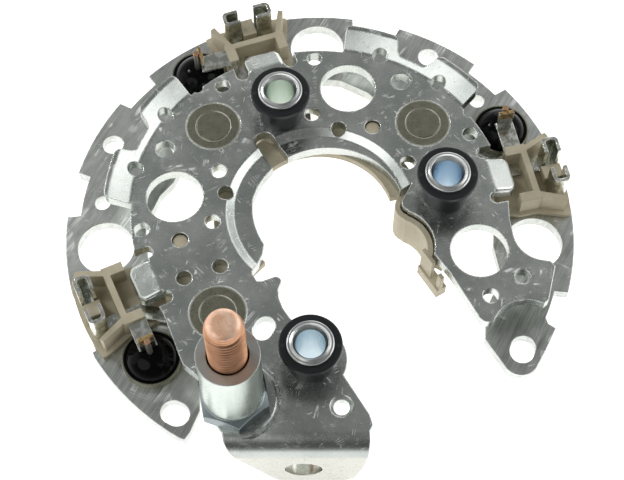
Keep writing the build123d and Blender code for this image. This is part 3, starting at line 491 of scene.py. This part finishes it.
def lower_plate_finish():
    """Rolled aluminium with the grain of the sheet and paler handling marks."""
    dull, pale = (0.36, 0.385, 0.36), (0.56, 0.585, 0.55)
    streak_tone, grain_tone = (0.72, 0.74, 0.71), (0.86, 0.87, 0.85)
    mark_tone, edge_highlight_tone = (0.98, 0.98, 0.97), (0.92, 0.93, 0.91)

    paint = Finish("lower_plate_aluminium", 0.32, Metallic=1.0)
    cloud = paint.noise(11, 4.0, 0.6)
    grain = paint.noise(0.3, 2.0, 0.6, (20, 1, 1), sheet_grain_turn)
    fine = paint.noise(0.6, 3.0, 0.6)
    scratches = paint.scratches(lower_sharpness, lower_marks)
    streaks = paint.noise(1.1, 2.0, 0.6, (16, 1, 1), sheet_grain_turn).step(0.38, 0.62)

    base = paint.mix(cloud.step(0.35, 0.7), dull, pale)
    base = paint.mix(streaks * 0.4, base, streak_tone)
    base = paint.mix((grain - 0.35) * 1.3, base, grain_tone)
    base = paint.mix(scratches * 0.7, base, mark_tone)
    # Painted highlight: the edges are painted paler
    paint.wire("Base Color", paint.mix(paint.edge * 0.5, base, edge_highlight_tone))
    paint.wire("Roughness", 0.20 + grain * 0.14 + fine * 0.08 + scratches * 0.2)
    paint.bump(grain * 0.6 + fine * 0.3 + cloud * 0.4, 0.5, 0.03)
    return paint.material


finishes["negative_aluminium"] = lower_plate_finish()
print("lower plate done")

# %% [markdown]
# Plastics. The carrier is a glass-filled beige moulding with a matt skin. The bushes are black and
# satin. The potting on the diodes was poured as a liquid, so it is smooth and glossy, with a
# little dust that settled while it cured.

# %% Moulding, bushes and potting
# The two gate marks lie on each flange, left and right of a point near the middle of the bush
gate_across = 5.95
gate_along = -0.4
gate_radius = (0.35, 0.5)


def moulding_finish():
    """Matt beige plastic with faint flow marks, and edges painted paler as a painted highlight."""
    dull, pale = (0.455, 0.405, 0.29), (0.515, 0.465, 0.34)
    flow_tone, edge_highlight_tone = (0.38, 0.32, 0.215), (0.62, 0.55, 0.41)

    paint = Finish("beige_plastic", 0.28, IOR=1.45)
    cloud = paint.noise(5, 3.0, 0.6)
    grain = paint.noise(0.35, 2.0, 0.5)
    flow = paint.noise(1.6, 2.0, 0.5, (1, 1, 4))

    base = paint.mix(cloud.step(0.3, 0.7), dull, pale)
    base = paint.mix(flow.step(0.5, 0.75) * 0.3, base, flow_tone)
    # Painted highlight: the edges are painted paler
    paint.wire("Base Color", paint.mix(paint.edge * 0.35, base, edge_highlight_tone))
    paint.wire("Roughness", 0.46 + grain * 0.16)
    paint.bump(grain + cloud * 0.4, 0.35, 0.03)
    return paint.material


def bush_finish():
    """Satin black plastic with two small gate marks on each flange."""
    black, dust_tone, gate_tone = (0.0065, 0.008, 0.0095), (0.06, 0.065, 0.07), (0.03, 0.033, 0.036)

    paint = Finish("black_bush_plastic", 0.25, IOR=1.42)
    grain = paint.noise(0.4, 3.0, 0.55)
    dust = paint.noise(0.8, 2.0, 0.7).step(0.68, 0.76)
    gates = joined([
        paint.away((across + side * gate_across, along + gate_along)).fade(*gate_radius)
        for across, along in middles("insulating_bush_%d")
        for side in (-1, 1)
    ], Wire.most)

    base = paint.mix(dust * 0.25, black, dust_tone)
    paint.wire("Base Color", paint.mix(gates * 0.6, base, gate_tone))
    paint.wire("Roughness", 0.36 + grain * 0.16)
    paint.bump(grain - gates * 3.0, 0.3, 0.02)
    return paint.material


def potting_finish():
    """Glossy black resin with dust."""
    black, dust_tone = (0.003, 0.003, 0.0035), (0.10, 0.10, 0.095)

    paint = Finish("black_resin", 0.2, IOR=1.38, Specular_IOR_Level=0.12)
    dust = paint.noise(0.7, 2.0, 0.6).step(0.70, 0.78)
    cloud = paint.noise(3.5, 3.0, 0.6)

    paint.wire("Base Color", paint.mix(dust * 0.4, black, dust_tone))
    paint.wire("Roughness", 0.06 + cloud * 0.06 + dust * 0.3)
    paint.bump(cloud, 0.25, 0.03)
    return paint.material


finishes["beige_moulding"] = moulding_finish()
finishes["black_bush"] = bush_finish()
finishes["black_potting"] = potting_finish()
print("plastics done")

# %% [markdown]
# Plated metals. Each plating has its own tone. Zinc is pale and greenish on the sleeve, and the
# hexagon is painted dark as a painted reflection of the plate beside it. Tin is pale with a yellow
# cast, the eyelets are bright, their bores carry a painted reflection of the background seen
# through them, and the stud carries a thin copper flash. Welding browned the tin beside each lead,
# and that tint is placed by the distance from the lead.

# %% Zinc, tin, steel and copper
# Heights in millimetres: above the hexagon's foot, up to where it is painted dark as a painted
# reflection, and below the sleeve's end
hexagon_end = (4.3, 5.2)
sawn_end = (-0.25, -0.05)
# The browned part of a tab: its height above the seat, and its distance from the lead
weld_heat_height = (11.0, 12.2)
weld_heat_reach = (1.6, 3.4)
# The eyelets' bores: their radius, and how far below the rim the painted reflection starts
bore_radius = (3.3, 3.5)
bore_top = (-1.4, -0.9)
# Colours painted into each bore: a painted reflection of the background seen through it
bore_reflection_tints = ((0.46, 0.58, 0.69), (0.66, 0.73, 0.67), (0.47, 0.58, 0.64))
# The lighter end of the stud, below its top, and the copper end of each lead, above the seat
stud_end = (-0.9, -0.2)
bare_lead = (13.2, 13.8)


def zinc_finish():
    """Zinc plating: pale, streaked sleeve with a sawn end, and a hexagon painted dark as a painted
    reflection.
    """
    dull, pale = (0.52, 0.58, 0.53), (0.60, 0.66, 0.60)
    cloud_tone, hexagon_reflection_tone = (0.47, 0.51, 0.45), (0.15, 0.185, 0.20)
    sawn_tone, rusty_tone, edge_highlight_tone = (0.44, 0.455, 0.44), (0.42, 0.37, 0.33), (0.85, 0.88, 0.85)

    paint = Finish("zinc_plating", 0.35, Metallic=1.0)
    streaks = paint.noise(1.4, 3.0, 0.6, (1, 1, 9))
    cloud = paint.noise(5, 2.0, 0.5)
    low, top = (corner.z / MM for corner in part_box("stud_sleeve_nut"))
    hexagon_reflection = (paint.z - low).fade(*hexagon_end)
    end = (paint.z - top).step(*sawn_end)

    base = paint.mix(streaks.step(0.3, 0.75), dull, pale)
    base = paint.mix(cloud.step(0.6, 0.85) * 0.3, base, cloud_tone)
    # Painted reflection: the hexagon is painted dark
    base = paint.mix(hexagon_reflection * 0.9, base, hexagon_reflection_tone)
    base = paint.mix(end * 0.9, base, paint.mix(cloud.step(0.42, 0.6), sawn_tone, rusty_tone))
    # Painted highlight: the edges are painted paler
    paint.wire("Base Color", paint.mix(paint.edge * 0.4, base, edge_highlight_tone))
    paint.wire("Roughness", 0.24 + cloud * 0.08 + end * 0.14)
    paint.bump(streaks * 0.3 + cloud * 0.2, 0.3, 0.02)
    return paint.material


def tin_finish():
    """Tinned sheet, browned where the leads were welded."""
    dull, pale = (0.54, 0.56, 0.50), (0.86, 0.87, 0.81)
    brown, scorched, edge_highlight_tone = (0.50, 0.33, 0.12), (0.14, 0.09, 0.05), (0.92, 0.93, 0.88)

    paint = Finish("tin_plating", 0.22, Metallic=1.0)
    cloud = paint.noise(1.8, 3.0, 0.6)
    grain = paint.noise(0.3, 3.0, 0.6)
    leads = middles("negative_diode_%d_lead")
    near = joined([paint.away(lead).fade(*weld_heat_reach) for lead in leads], Wire.most)
    heat = near * paint.z.step(*weld_heat_height)
    scorch = paint.noise(0.7, 3.0, 0.6).step(0.45, 0.62)

    base = paint.mix(cloud.step(0.42, 0.6), dull, pale)
    base = paint.mix(heat * 0.95, base, paint.mix(scorch, brown, scorched))
    # Painted highlight: the edges are painted paler
    paint.wire("Base Color", paint.mix(paint.edge * 0.4, base, edge_highlight_tone))
    paint.wire("Roughness", 0.15 + cloud * 0.16 + heat * 0.2)
    paint.bump(grain * 0.4 + cloud * 1.6, 0.55, 0.04)
    return paint.material


def eyelet_finish():
    """Bright plated steel, with its bore painted in a tint that is a painted reflection of the
    background seen through it.
    """
    dull, pale = (0.56, 0.58, 0.575), (0.66, 0.68, 0.67)

    paint = Finish("eyelet_plating", 0.12, Metallic=1.0)
    cloud = paint.noise(2.2, 3.0, 0.6)
    grain = paint.noise(0.3, 3.0, 0.6)
    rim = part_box("eyelet_1")[1].z / MM

    base = paint.mix(cloud.step(0.3, 0.7), dull, pale)
    for place, bore_reflection_tone in zip(middles("eyelet_%d"), bore_reflection_tints):
        inside = paint.away(place).fade(*bore_radius) * (paint.z - rim).fade(*bore_top)
        # Painted reflection: each bore takes the tint of the background seen through it
        base = paint.mix(inside, base, bore_reflection_tone)
    paint.wire("Base Color", base)
    paint.wire("Roughness", 0.24 + cloud * 0.10)
    paint.bump(grain * 0.3 + cloud * 0.3, 0.2, 0.01)
    return paint.material


def stud_finish():
    """Thin copper flash on steel, darker in its hollows and lighter at its end."""
    copper, dark_copper = (0.54, 0.295, 0.175), (0.41, 0.205, 0.115)
    end_pale, end_dull = (0.98, 0.72, 0.56), (0.80, 0.50, 0.34)
    hollow_tone, edge_highlight_tone = (0.30, 0.15, 0.09), (0.88, 0.56, 0.38)

    paint = Finish("stud_copper", 0.12, Metallic=1.0)
    cloud = paint.noise(2.6, 4.0, 0.6)
    grain = paint.noise(0.35, 3.0, 0.6)
    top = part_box("output_stud")[1].z / MM
    end = (paint.z - top).step(*stud_end)

    base = paint.mix(cloud.step(0.3, 0.72), copper, dark_copper)
    base = paint.mix(end * 0.9, base, paint.mix(cloud.step(0.35, 0.65), end_pale, end_dull))
    base = paint.mix(grain.step(0.55, 0.75) * 0.35, base, hollow_tone)
    # Painted highlight: the edges are painted paler
    paint.wire("Base Color", paint.mix(paint.edge * 0.5, base, edge_highlight_tone))
    paint.wire("Roughness", 0.27 + grain * 0.14 + end * 0.2)
    paint.bump(grain + cloud * 0.5, 0.4, 0.02)
    return paint.material


def lead_finish():
    """Dull tinned wire whose welded end shows bare copper."""
    dull, pale, copper = (0.30, 0.275, 0.24), (0.42, 0.39, 0.34), (0.50, 0.31, 0.19)

    paint = Finish("lead_copper", 0.15, Metallic=1.0)
    cloud = paint.noise(1.2, 4.0, 0.6)
    grain = paint.noise(0.35, 3.0, 0.6)

    base = paint.mix(cloud.step(0.3, 0.7), dull, pale)
    paint.wire("Base Color", paint.mix(paint.z.step(*bare_lead), base, copper))
    paint.wire("Roughness", 0.30 + grain * 0.16)
    paint.bump(grain + cloud * 0.5, 0.4, 0.02)
    return paint.material


finishes["zinc_plate"] = zinc_finish()
finishes["tinned_terminal"] = tin_finish()
finishes["eyelet_steel"] = eyelet_finish()
finishes["coppered_stud"] = stud_finish()
finishes["diode_lead"] = lead_finish()
print("platings done")

# %% Diode cups and dies
# Radii in millimetres: the ring pressed into each disc, its half width, and the disc's rim, which
# all carry a painted highlight
disc_ring_radius = 4.12
disc_ring_width = (0.05, 0.16)
disc_rim = (5.95, 6.1)
# The black collar of resin round each dome, and the heights of the discs and of the collar
resin_radius = (6.15, 6.4)
disc_height = (9.0, 10.0)
resin_height = ((4.5, 4.7), (6.0, 7.0))


def cup_finish():
    """Nickel-plated cup: olive on its base, with a painted highlight on the ring and rim, black at
    its collar.
    """
    dull, pale, grain_tone = (0.27, 0.27, 0.20), (0.35, 0.345, 0.265), (0.50, 0.49, 0.40)
    resin_tone, ring_highlight_tone = (0.008, 0.008, 0.008), (0.85, 0.86, 0.78)

    paint = Finish("cup_nickel", 0.15, Metallic=1.0)
    cloud = paint.noise(2.0, 4.0, 0.6)
    grain = paint.noise(0.28, 2.0, 0.6)
    discs = [paint.away(place) for place in middles("positive_diode_%d_cup")]
    rings = [
        abs(reach - disc_ring_radius).fade(*disc_ring_width).most(reach.step(*disc_rim))
        for reach in discs
    ]
    ring_highlight = joined(rings, Wire.least) * paint.z.step(*disc_height)
    domes = [paint.away(place) for place in middles("negative_diode_%d_cup")]
    collars = joined([reach.fade(*resin_radius) for reach in domes], Wire.most)
    resin = collars * paint.z.band(*resin_height)

    base = paint.mix(cloud.step(0.3, 0.7), dull, pale)
    base = paint.mix(grain.step(0.45, 0.7) * 0.4, base, grain_tone)
    base = paint.mix(resin, base, resin_tone)
    # Painted highlight: the pressed ring and the rim of each disc are painted bright
    paint.wire("Base Color", paint.mix(ring_highlight * 0.7, base, ring_highlight_tone))
    paint.wire("Roughness", 0.22 + grain * 0.16)
    paint.bump(grain + cloud * 0.4, 0.4, 0.02)
    return paint.material


def die_finish():
    """Polished silicon."""
    dark, pale = (0.10, 0.11, 0.13), (0.14, 0.15, 0.18)

    paint = Finish("silicon", 0.05, IOR=3.4)
    grain = paint.noise(0.8, 2.0, 0.5)
    paint.wire("Base Color", paint.mix(grain, dark, pale))
    paint.wire("Roughness", 0.1 + grain * 0.1)
    return paint.material


finishes["diode_cup"] = cup_finish()
finishes["silicon_die"] = die_finish()
print("diode finishes done")

# %% [markdown]
# Every solid gets the finish of its slot. Their meshes stay as they came.

# %% Dress the solids


def dress(piece, material):
    """Put one material on every slot of a piece."""
    if not piece.material_slots:
        piece.data.materials.append(material)
    for material_slot in piece.material_slots:
        material_slot.material = material


for name, piece in nodes.items():
    dress(piece, finishes[slot_of[name]])
print("dressed:", len(nodes))

# %% [markdown]
# Recipes. What repeats by a rule is made by Geometry Nodes: the thread of the stud, and the teeth
# that hold each diode in its plate. A recipe is a tree with named sizes. It is run once, and its
# result becomes a plain mesh, so nothing of the tree is left on the piece.

# %% Helpers for recipes
# Points that are closer than this, in millimetres, become one
weld_gap = 0.0005


class Recipe(Graph):
    """A Geometry Nodes tree whose inputs are named sizes in millimetres or counts."""

    def __init__(self, name, sizes):
        self.tree = bpy.data.node_groups.new(name, "GeometryNodeTree")
        self.keys = {}
        for label, value in sizes.items():
            kind = "NodeSocketInt" if isinstance(value, int) else "NodeSocketFloat"
            socket = self.tree.interface.new_socket(label, in_out="INPUT", socket_type=kind)
            socket.default_value = value
            self.keys[label] = socket.identifier
        self.tree.interface.new_socket("Mesh", in_out="OUTPUT", socket_type="NodeSocketGeometry")
        entry = self.tree.nodes.new("NodeGroupInput")
        self.size = {label: Wire(self, entry.outputs[label]) for label in sizes}

    def close(self, result, material):
        """End the tree in real mesh with its material."""
        real = self.node("GeometryNodeRealizeInstances", {}, {0: result})
        dressed = self.node("GeometryNodeSetMaterial", {}, {0: real, "Material": material})
        leave = self.tree.nodes.new("NodeGroupOutput")
        self.tree.links.new(dressed.socket, leave.inputs[0])

    def bake(self, **sizes):
        """Run the tree with some sizes changed and return a plain mesh in metres."""
        host = bpy.data.objects.new("recipe_host", bpy.data.meshes.new("recipe_host"))
        bpy.context.scene.collection.objects.link(host)
        modifier = host.modifiers.new("recipe", "NODES")
        modifier.node_group = self.tree
        for label, value in sizes.items():
            modifier[self.keys[label]] = value
        graph = bpy.context.evaluated_depsgraph_get()
        mesh = bpy.data.meshes.new_from_object(host.evaluated_get(graph))
        bpy.data.objects.remove(host)
        mesh.transform(Matrix.Scale(MM, 4))
        return mesh


def moved(mesh, place, height=0):
    """The mesh after a move by a point of the plan and a height, in millimetres."""
    mesh.transform(Matrix.Translation((place[0] * MM, place[1] * MM, height * MM)))
    return mesh


def piece_of(meshes, name, slot, smooth):
    """One object on the part's body, made of some meshes, with the finish of a slot."""
    shape = bmesh.new()
    for mesh in meshes:
        shape.from_mesh(mesh)
    bmesh.ops.remove_doubles(shape, verts=shape.verts, dist=weld_gap * MM)
    final = bpy.data.meshes.new(name)
    shape.to_mesh(final)
    shape.free()
    final.shade_smooth()
    final.set_sharp_from_angle(angle=radians(smooth))
    final.materials.clear()
    final.materials.append(finishes[slot])
    piece = bpy.data.objects.new(name, final)
    bpy.context.scene.collection.objects.link(piece)
    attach(piece, "root")
    print(name, len(final.polygons), "faces")
    return piece


# %% [markdown]
# The stud. Its M8 thread is rolled, so the crests are round and the copper is scuffed on them. A
# thread is a grid wound round a cylinder, whose radius goes up and down with the height less the
# share of the turn. The head, the waist and the tip are turned, so they are lathed from their
# profile.

# %% Sizes of the stud
stud_low, stud_high = (corner.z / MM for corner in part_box("output_stud"))
head_radius = 5.4
head_height = 3.0
head_chamfer = (0.3, 0.5)
shank_radius = 4.0
waist_radius = 3.6
waist_start = 18.7
thread_start = 35.6
thread_depth = 0.58
core_radius = 3.42
tip_height = 1.2
tip_start = stud_high - tip_height
turn_steps = 96
thread_rows = 156
stud_smooth = 50

# %% Thread recipe
thread = Recipe("rolled_thread", {
    "Radius": shank_radius, "Depth": thread_depth, "Pitch": 1.25,
    "Start": thread_start, "Length": tip_start - thread_start,
    "Round": turn_steps, "Up": thread_rows,
})
# Share of the pitch that the flat of the root takes, and how steeply the flank rises from it
root_share = 0.12
flank_rise = 1.3
# Length below the tip over which the thread dies out
run_out_length = 1.4
# Whole turns that keep the count of turns above zero before its fraction is taken
spare_turns = 8.0

wound = thread.node("GeometryNodeMeshGrid", {}, {
    "Size X": 1.0, "Size Y": 1.0,
    "Vertices X": thread.size["Round"], "Vertices Y": thread.size["Up"],
})
share, rise, _ = thread.split(thread.node("GeometryNodeInputPosition", {}, {}))
height = (rise + 0.5) * thread.size["Length"]
saw = (height / thread.size["Pitch"] - share + spare_turns).through("FRACT")
ridge = ((abs(saw - 0.5) * 2.0 - root_share) * flank_rise).clamped()
run_out = ((thread.size["Length"] - height) / run_out_length).clamped()
radius = thread.size["Radius"] - thread.size["Depth"] * (1 - ridge * run_out)
angle = share * (2 * pi)
place = thread.node("ShaderNodeCombineXYZ", {}, {
    0: radius * angle.through("COSINE"),
    1: radius * angle.through("SINE"),
    2: height + thread.size["Start"],
})
rolled = thread.node("GeometryNodeSetPosition", {}, {"Geometry": wound, "Position": place})
closing = {"Geometry": rolled, "Distance": weld_gap}
thread.close(thread.node("GeometryNodeMergeByDistance", {}, closing), finishes["coppered_stud"])
print("thread recipe with", len(thread.tree.nodes), "nodes")

# %% Lathe


def lathe(profile):
    """Mesh turned round Z from a profile of radius and height in millimetres, bottom first."""
    turns = [2 * pi * step / turn_steps for step in range(turn_steps)]
    shape = bmesh.new()
    rings = []
    for radius, height in profile:
        level = height * MM
        if radius == 0:
            points = [(0, 0, level)]
        else:
            points = [(radius * cos(turn) * MM, radius * sin(turn) * MM, level) for turn in turns]
        rings.append([shape.verts.new(point) for point in points])
    for low, high in zip(rings, rings[1:]):
        for step in range(turn_steps):
            after = (step + 1) % turn_steps
            lower = [low[step % len(low)], low[after % len(low)]]
            upper = [high[after % len(high)], high[step % len(high)]]
            shape.faces.new(list(dict.fromkeys(lower + upper)))
    mesh = bpy.data.meshes.new("lathed")
    shape.to_mesh(mesh)
    shape.free()
    return mesh


shank = lathe((
    (0, stud_low),
    (head_radius - head_chamfer[0], stud_low),
    (head_radius, stud_low + head_chamfer[1]),
    (head_radius, stud_low + head_height),
    (shank_radius, stud_low + head_height),
    (shank_radius, waist_start),
    (waist_radius, waist_start),
    (waist_radius, thread_start),
    (core_radius, thread_start),
))
tip = lathe((
    (core_radius, tip_start),
    (3.3, tip_start + 0.1),
    (3.44, tip_start + 0.3),
    (3.34, stud_high - 0.6),
    (3.1, stud_high - 0.34),
    (2.8, stud_high - 0.15),
    (2.4, stud_high - 0.04),
    (2.0, stud_high),
    (0, stud_high),
))
turned_parts = [moved(mesh, stud_place) for mesh in (shank, thread.bake(), tip)]
stud = piece_of(turned_parts, "threaded_stud", "coppered_stud", stud_smooth)
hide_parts("output_stud")

# %% [markdown]
# Knurls. Each diode's cup is rolled with small teeth that bite into the plate when it is pressed
# in. Only their ends show, as a ring of ticks round each disc, and as a toothed collar round each
# dome. A ring of thin six-sided pins, half sunk in the cup, gives both.

# %% Knurls
# Heights of the middle of the teeth: in the collars of the domes, and in the ticks of the discs
collar_level = 3.95
ticks_level = 11.68
tooth_sides = 6
knurl_smooth = 60

knurl = Recipe("knurl", {"Radius": 6.6, "Teeth": 84, "Tooth": 0.14, "Height": 1.5})
ring_points = knurl.node("GeometryNodeMeshCircle", {}, {
    "Vertices": knurl.size["Teeth"], "Radius": knurl.size["Radius"],
})
tooth = knurl.node("GeometryNodeMeshCylinder", {}, {
    "Vertices": tooth_sides, "Radius": knurl.size["Tooth"], "Depth": knurl.size["Height"],
})
knurl.close(
    knurl.node("GeometryNodeInstanceOnPoints", {}, {"Points": ring_points, "Instance": tooth}),
    finishes["diode_cup"],
)

for number in TRIO:
    collar = moved(knurl.bake(), middle("negative_diode_%d_cup" % number), collar_level)
    piece_of([collar], "collar_knurl_%d" % number, "diode_cup", knurl_smooth)
    ticks = knurl.bake(Radius=6.28, Tooth=0.11, Height=0.12)
    ticks = moved(ticks, middle("positive_diode_%d_cup" % number), ticks_level)
    piece_of([ticks], "disc_knurl_%d" % number, "diode_cup", knurl_smooth)

# %% [markdown]
# Weld beads. The lead of each negative diode is welded to its tab, and a small bead of molten
# copper froze over both. It is a little ball, flattened and pushed out of round by seeded noise.

# %% Weld beads
bead_radii = (0.72, 0.66, 0.34)
bead_level = 13.85
lump_height = 0.22
lump_scale = 1.7
seed_step = 5
bead_smooth = 80


def weld_bead(number):
    """Bead over the top of one lead and its tab."""
    shape = bmesh.new()
    bmesh.ops.create_icosphere(shape, subdivisions=3, radius=1.0)
    seed = Vector((number * seed_step, 0, 0))
    for vertex in shape.verts:
        reach = vertex.co * (1 + lump_height * noise.noise(vertex.co * lump_scale + seed))
        vertex.co = Vector([length * radius for length, radius in zip(reach, bead_radii)]) * MM
    mesh = bpy.data.meshes.new("bead")
    shape.to_mesh(mesh)
    shape.free()
    moved(mesh, middle("negative_diode_%d_lead" % number), bead_level)
    piece_of([mesh], "weld_bead_%d" % number, "diode_lead", bead_smooth)


for number in TRIO:
    weld_bead(number)
